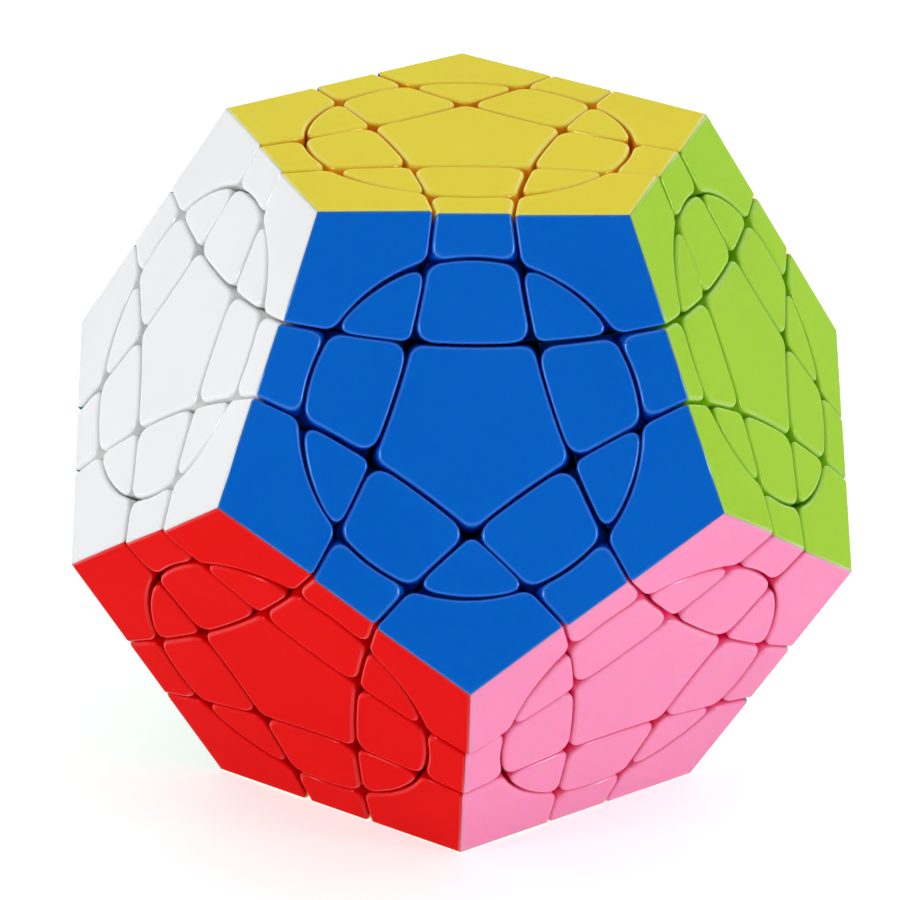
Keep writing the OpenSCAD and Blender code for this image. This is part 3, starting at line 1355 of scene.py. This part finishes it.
@dataclass
class Tension:
    """The screw, washer and spring that hold each turntable to its arm, all sizes in millimetres."""

    sizes: PuzzleSizes
    material: bpy.types.Material
    washer_low: float = 33.2
    washer_t: float = 0.6
    washer_r: float = 4.0
    washer_hole_r: float = 1.1
    head_r: float = 2.0
    head_h: float = 1.4
    shank_r: float = 0.86
    shank_len: float = 12.0
    thread_r: float = 0.14
    thread_pitch: float = 0.6
    socket_r: float = 1.0
    socket_depth: float = 0.8
    spring_low: float = 30.93
    spring_high: float = 32.8
    spring_r: float = 3.45
    wire_r: float = 0.34
    spring_turns: float = 2.6
    crease: float = math.radians(40)
    head_sides: int = 32
    socket_sides: int = 6
    shank_sides: int = 20
    thread_sides: int = 3
    thread_points: int = 14
    washer_points: int = 40
    coil_points: int = 36
    wire_sides: int = 10

    def screws(self) -> bpy.types.Object:
        """Screws with a hexagon socket and a turned thread.

        Returns:
            All of them as one piece.
        """
        top = self.washer_low + self.washer_t
        threaded = self.shank_len - self.washer_t
        tree = ArmTree("screw_on_arms", {
            "Head radius": self.head_r * MM,
            "Head height": self.head_h * MM,
            "Head middle": (top + self.head_h / 2) * MM,
            "Socket radius": self.socket_r * MM,
            "Socket depth": 2 * self.socket_depth * MM,
            "Head top": (top + self.head_h) * MM,
            "Shank radius": self.shank_r * MM,
            "Shank length": (self.shank_len + self.head_h / 2) * MM,
            "Shank middle": (top - self.shank_len / 2 + self.head_h / 4) * MM,
            "Thread radius": self.thread_r * MM,
            "Thread height": threaded * MM,
            "Thread low": (top - self.shank_len) * MM,
            "Thread turns": threaded / self.thread_pitch,
        }, self.material)
        drilled = tree.nodes.new("GeometryNodeMeshBoolean")
        drilled.operation = "DIFFERENCE"
        head = tree.rod(self.head_sides, "Head radius", "Head height", "Head middle")
        hexagon = tree.rod(self.socket_sides, "Socket radius", "Socket depth", "Head top")
        tree.feed(drilled, Mesh_1=head, Mesh_2=hexagon)
        return tree.finish(tree.joined([
            drilled.outputs["Mesh"],
            tree.rod(self.shank_sides, "Shank radius", "Shank length", "Shank middle"),
            tree.coil("Shank radius", "Thread turns", "Thread height", "Thread low", self.thread_points,
                      "Thread radius", self.thread_sides),
        ]), "screws")

    def washers(self) -> bpy.types.Object:
        """Flat washers with rounded rims.

        Returns:
            All of them as one piece.
        """
        tree = ArmTree("washer_on_arms", {
            "Middle radius": (self.washer_r + self.washer_hole_r) / 2 * MM,
            "Band": (self.washer_r - self.washer_hole_r) * MM,
            "Thickness": self.washer_t * MM,
            "Rounding": self.washer_t / 4 * MM,
            "Height": (self.washer_low + self.washer_t / 2) * MM,
        }, self.material)
        path = tree.node("GeometryNodeCurvePrimitiveCircle", Resolution=self.washer_points,
                         Radius=tree.size("Middle radius"))
        band = tree.node("GeometryNodeCurvePrimitiveQuadrilateral", Width=tree.size("Band"),
                         Height=tree.size("Thickness"))
        rounded = tree.node("GeometryNodeFilletCurve", Curve=band.outputs["Curve"],
                            Radius=tree.size("Rounding"))
        swept = tree.node("GeometryNodeCurveToMesh", Curve=path.outputs["Curve"],
                          Profile_Curve=rounded.outputs["Curve"])
        return tree.finish(tree.moved(swept.outputs["Mesh"], "Height"), "washers")

    def springs(self) -> bpy.types.Object:
        """Short springs of round wire, coiled round the arms.

        Returns:
            All of them as one piece.
        """
        tree = ArmTree("spring_on_arms", {
            "Turns": self.spring_turns,
            "Coil radius": self.spring_r * MM,
            "Wire radius": self.wire_r * MM,
            "Coil height": (self.spring_high - self.spring_low) * MM,
            "Coil low": self.spring_low * MM,
        }, self.material)
        coil = tree.coil("Coil radius", "Turns", "Coil height", "Coil low", self.coil_points, "Wire radius",
                         self.wire_sides)
        return tree.finish(coil, "springs")

    def build(self) -> None:
        """Adds the screws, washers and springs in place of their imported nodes."""
        for piece, node in ((self.screws(), "tension_screws"), (self.washers(), "spring_washers"),
                            (self.springs(), "tension_springs")):
            piece.data.shade_smooth()
            piece.data.set_sharp_from_angle(angle=self.crease)
            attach(piece, "core")
            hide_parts(node)
            LOG.info("%s on %d arms, %d faces", piece.name, len(FACES), len(piece.data.polygons))


@dataclass(frozen=True)
class Camera:
    """The camera, its place in shares of the distance from the core's centre to a face."""

    turn: float = math.radians(1.81)
    down: float = math.radians(23.817)
    roll: float = math.radians(1.2913)
    distance: float = 15.5145
    aim: tuple[float, float, float] = (-0.0338, -0.0052, -0.01426)
    lens: float = 203.15
    sensor: float = 36.0
    nearest: float = 0.01

    def build(self, face_r: float) -> None:
        """Makes the camera.

        Args:
            face_r: distance from the core's centre to a face, in metres.
        """
        level = math.cos(self.down)
        ahead = Vector((math.sin(self.turn) * level, math.cos(self.turn) * level, -math.sin(self.down)))
        right = ahead.cross(Vector((0.0, 0.0, 1.0))).normalized()
        up = right.cross(ahead)
        turned_right = right * math.cos(self.roll) + up * math.sin(self.roll)
        turned_up = up * math.cos(self.roll) - right * math.sin(self.roll)
        data = bpy.data.cameras.new("camera")
        data.lens = self.lens
        data.sensor_width = self.sensor
        data.clip_start = self.nearest
        camera = bpy.data.objects.new("camera", data)
        bpy.context.scene.collection.objects.link(camera)
        camera.matrix_world = Matrix((turned_right, turned_up, -ahead)).transposed().to_4x4()
        camera.location = Vector(self.aim) * face_r - ahead * self.distance * face_r
        bpy.context.scene.camera = camera


@dataclass(frozen=True)
class SoftBox:
    """A soft light that points at the middle of the puzzle; turn and rise are seen from there, in degrees."""

    name: str
    turn: float
    rise: float
    distance: float
    width: float
    height: float
    watts: float

    def build(self) -> None:
        """Makes the light."""
        data = bpy.data.lights.new(self.name, "AREA")
        data.shape = "RECTANGLE"
        data.size = self.width
        data.size_y = self.height
        data.energy = self.watts
        light = bpy.data.objects.new(self.name, data)
        bpy.context.scene.collection.objects.link(light)
        turn, rise = math.radians(self.turn), math.radians(self.rise)
        back = Vector((math.sin(turn) * math.cos(rise), -math.cos(turn) * math.cos(rise), math.sin(rise)))
        light.location = back * self.distance
        light.rotation_euler = back.to_track_quat("Z", "Y").to_euler()


@dataclass(frozen=True)
class Studio:
    """A pale room: white behind, dimmer in front, a plain floor a hair below the puzzle, two soft boxes."""

    behind: float = 1.15
    ahead: float = 0.2
    fade: tuple[float, float] = (-0.75, 0.1)
    floor_half: float = 3.0
    floor_drop: float = 0.00004
    floor_tone: float = 0.6
    floor_glow: float = 0.6
    floor_roughness: float = 0.9
    boxes: tuple[SoftBox, ...] = (
        SoftBox("left", -58.0, 12.0, 0.8, 0.06, 0.36, 2.45),
        SoftBox("right", 62.0, 12.0, 0.8, 0.06, 0.36, 2.45),
    )

    def surroundings(self) -> bpy.types.World:
        """Surroundings that are brighter behind the puzzle than in front of it.

        Returns:
            The world.
        """
        world = bpy.data.worlds.new("room")
        world.use_nodes = True
        tree = NodeTree(world.node_tree)
        place = tree.node("ShaderNodeTexCoord").outputs["Generated"]
        depth = tree.node("ShaderNodeSeparateXYZ", Vector=place).outputs["Y"]
        start, stop = self.fade
        ramp = tree.node("ShaderNodeMapRange", Value=depth, From_Min=start, From_Max=stop, To_Min=self.ahead,
                         To_Max=self.behind)
        ramp.interpolation_type = "SMOOTHSTEP"
        tree.feed(tree.nodes["Background"], Color=WHITE, Strength=ramp.outputs["Result"])
        return world

    def build(self, floor_z: float) -> None:
        """Makes the surroundings, the floor and the lights.

        Args:
            floor_z: height of the floor, in metres.
        """
        scene = bpy.context.scene
        scene.world = self.surroundings()
        scene.view_settings.view_transform = "Standard"
        half, low = self.floor_half, floor_z - self.floor_drop
        data = bpy.data.meshes.new("floor")
        data.from_pydata([(-half, -half, low), (half, -half, low), (half, half, low), (-half, half, low)], [],
                         [(0, 1, 2, 3)])
        matt = bpy.data.materials.new("floor")
        matt.use_nodes = True
        tree = NodeTree(matt.node_tree)
        tree.feed(
            tree.nodes["Principled BSDF"], Base_Color=(*[self.floor_tone] * 3, 1.0),
            Roughness=self.floor_roughness, Emission_Color=WHITE, Emission_Strength=self.floor_glow,
        )
        data.materials.append(matt)
        mesh_object("floor", data)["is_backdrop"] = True
        for box in self.boxes:
            box.build()


# The second colour of each finish is its painted groove light, darker or more saturated than the face.
SHELL_FINISHES: tuple[ShellFinish, ...] = (
    ShellFinish(Face.YELLOW, (0.86, 0.79, 0.20), (1.0, 0.65, 0.0)),
    ShellFinish(Face.BLUE, (0.02, 0.39, 0.77), (0.0, 0.32, 0.80), translucency=0.75, rim_specular=1.0,
                shine_tint=0.6),
    ShellFinish(Face.GREEN, (0.54, 0.71, 0.15), (0.55, 0.80, 0.05)),
    ShellFinish(Face.ORANGE, (0.96, 0.52, 0.10), (0.92, 0.32, 0.03)),
    ShellFinish(Face.PURPLE, (0.48, 0.24, 0.66), (0.34, 0.10, 0.52), translucency=0.4),
    ShellFinish(Face.WHITE, (0.83, 0.835, 0.84), (0.96, 0.96, 0.955)),
    ShellFinish(Face.PINK, (0.89, 0.515, 0.67), (1.0, 0.20, 0.47), rim_specular=0.6),
    ShellFinish(Face.GREY, (0.55, 0.57, 0.60), (0.44, 0.46, 0.49)),
    ShellFinish(Face.SKY, (0.45, 0.74, 0.92), (0.26, 0.62, 0.95)),
    ShellFinish(Face.FOREST, (0.05, 0.45, 0.24), (0.0, 0.28, 0.13), translucency=0.4),
    ShellFinish(Face.RED, (0.81, 0.0, 0.0), (0.84, 0.0, 0.0), rim_specular=0.35),
    ShellFinish(Face.CREAM, (0.95, 0.90, 0.74), (0.97, 0.86, 0.56)),
)
NYLON = InnerFinish(
    slot="core_plastic", colour=(0.16, 0.16, 0.17), tones=(0.82, 1.2), patches=Grain(60.0, 4.0),
    roughness=(0.42, 0.6), gloss=Grain(400.0), relief=Relief(Grain(2600.0, 3.0), 0.2, 0.00004),
)
STEEL = InnerFinish(
    slot="steel", colour=(0.68, 0.69, 0.71), tones=(0.85, 1.08), patches=Grain(500.0, 4.0),
    roughness=(0.18, 0.34), gloss=Grain(1500.0), relief=Relief(Grain(6000.0, 2.0), 0.15, 0.00001),
    metallic=1.0,
)


def box_corners() -> list[list[float]]:
    """Lowest and highest corner of the shown object, as plain lists."""
    return [list(corner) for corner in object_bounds()]


def main() -> None:
    """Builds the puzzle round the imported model, with its camera and room."""
    logging.basicConfig(level=logging.INFO, format="%(message)s")
    packed = box_corners()
    face_r = (packed[1][2] - packed[0][2]) / 2
    Camera().build(face_r)
    Studio().build(packed[0][2])
    sizes = PuzzleSizes(face_r / MM)
    nylon, steel = NYLON.material(), STEEL.material()
    plastics = {finish.face: finish.material() for finish in SHELL_FINISHES}
    Shells(sizes, plastics).build()
    InnerParts(sizes, nylon, plastics).build()
    Tension(sizes, steel).build()
    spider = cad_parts["core_spider"]
    for slot in spider.material_slots:
        slot.material = nylon
    LOG.info("core_spider in nylon")


if __name__ == "__main__":
    main()
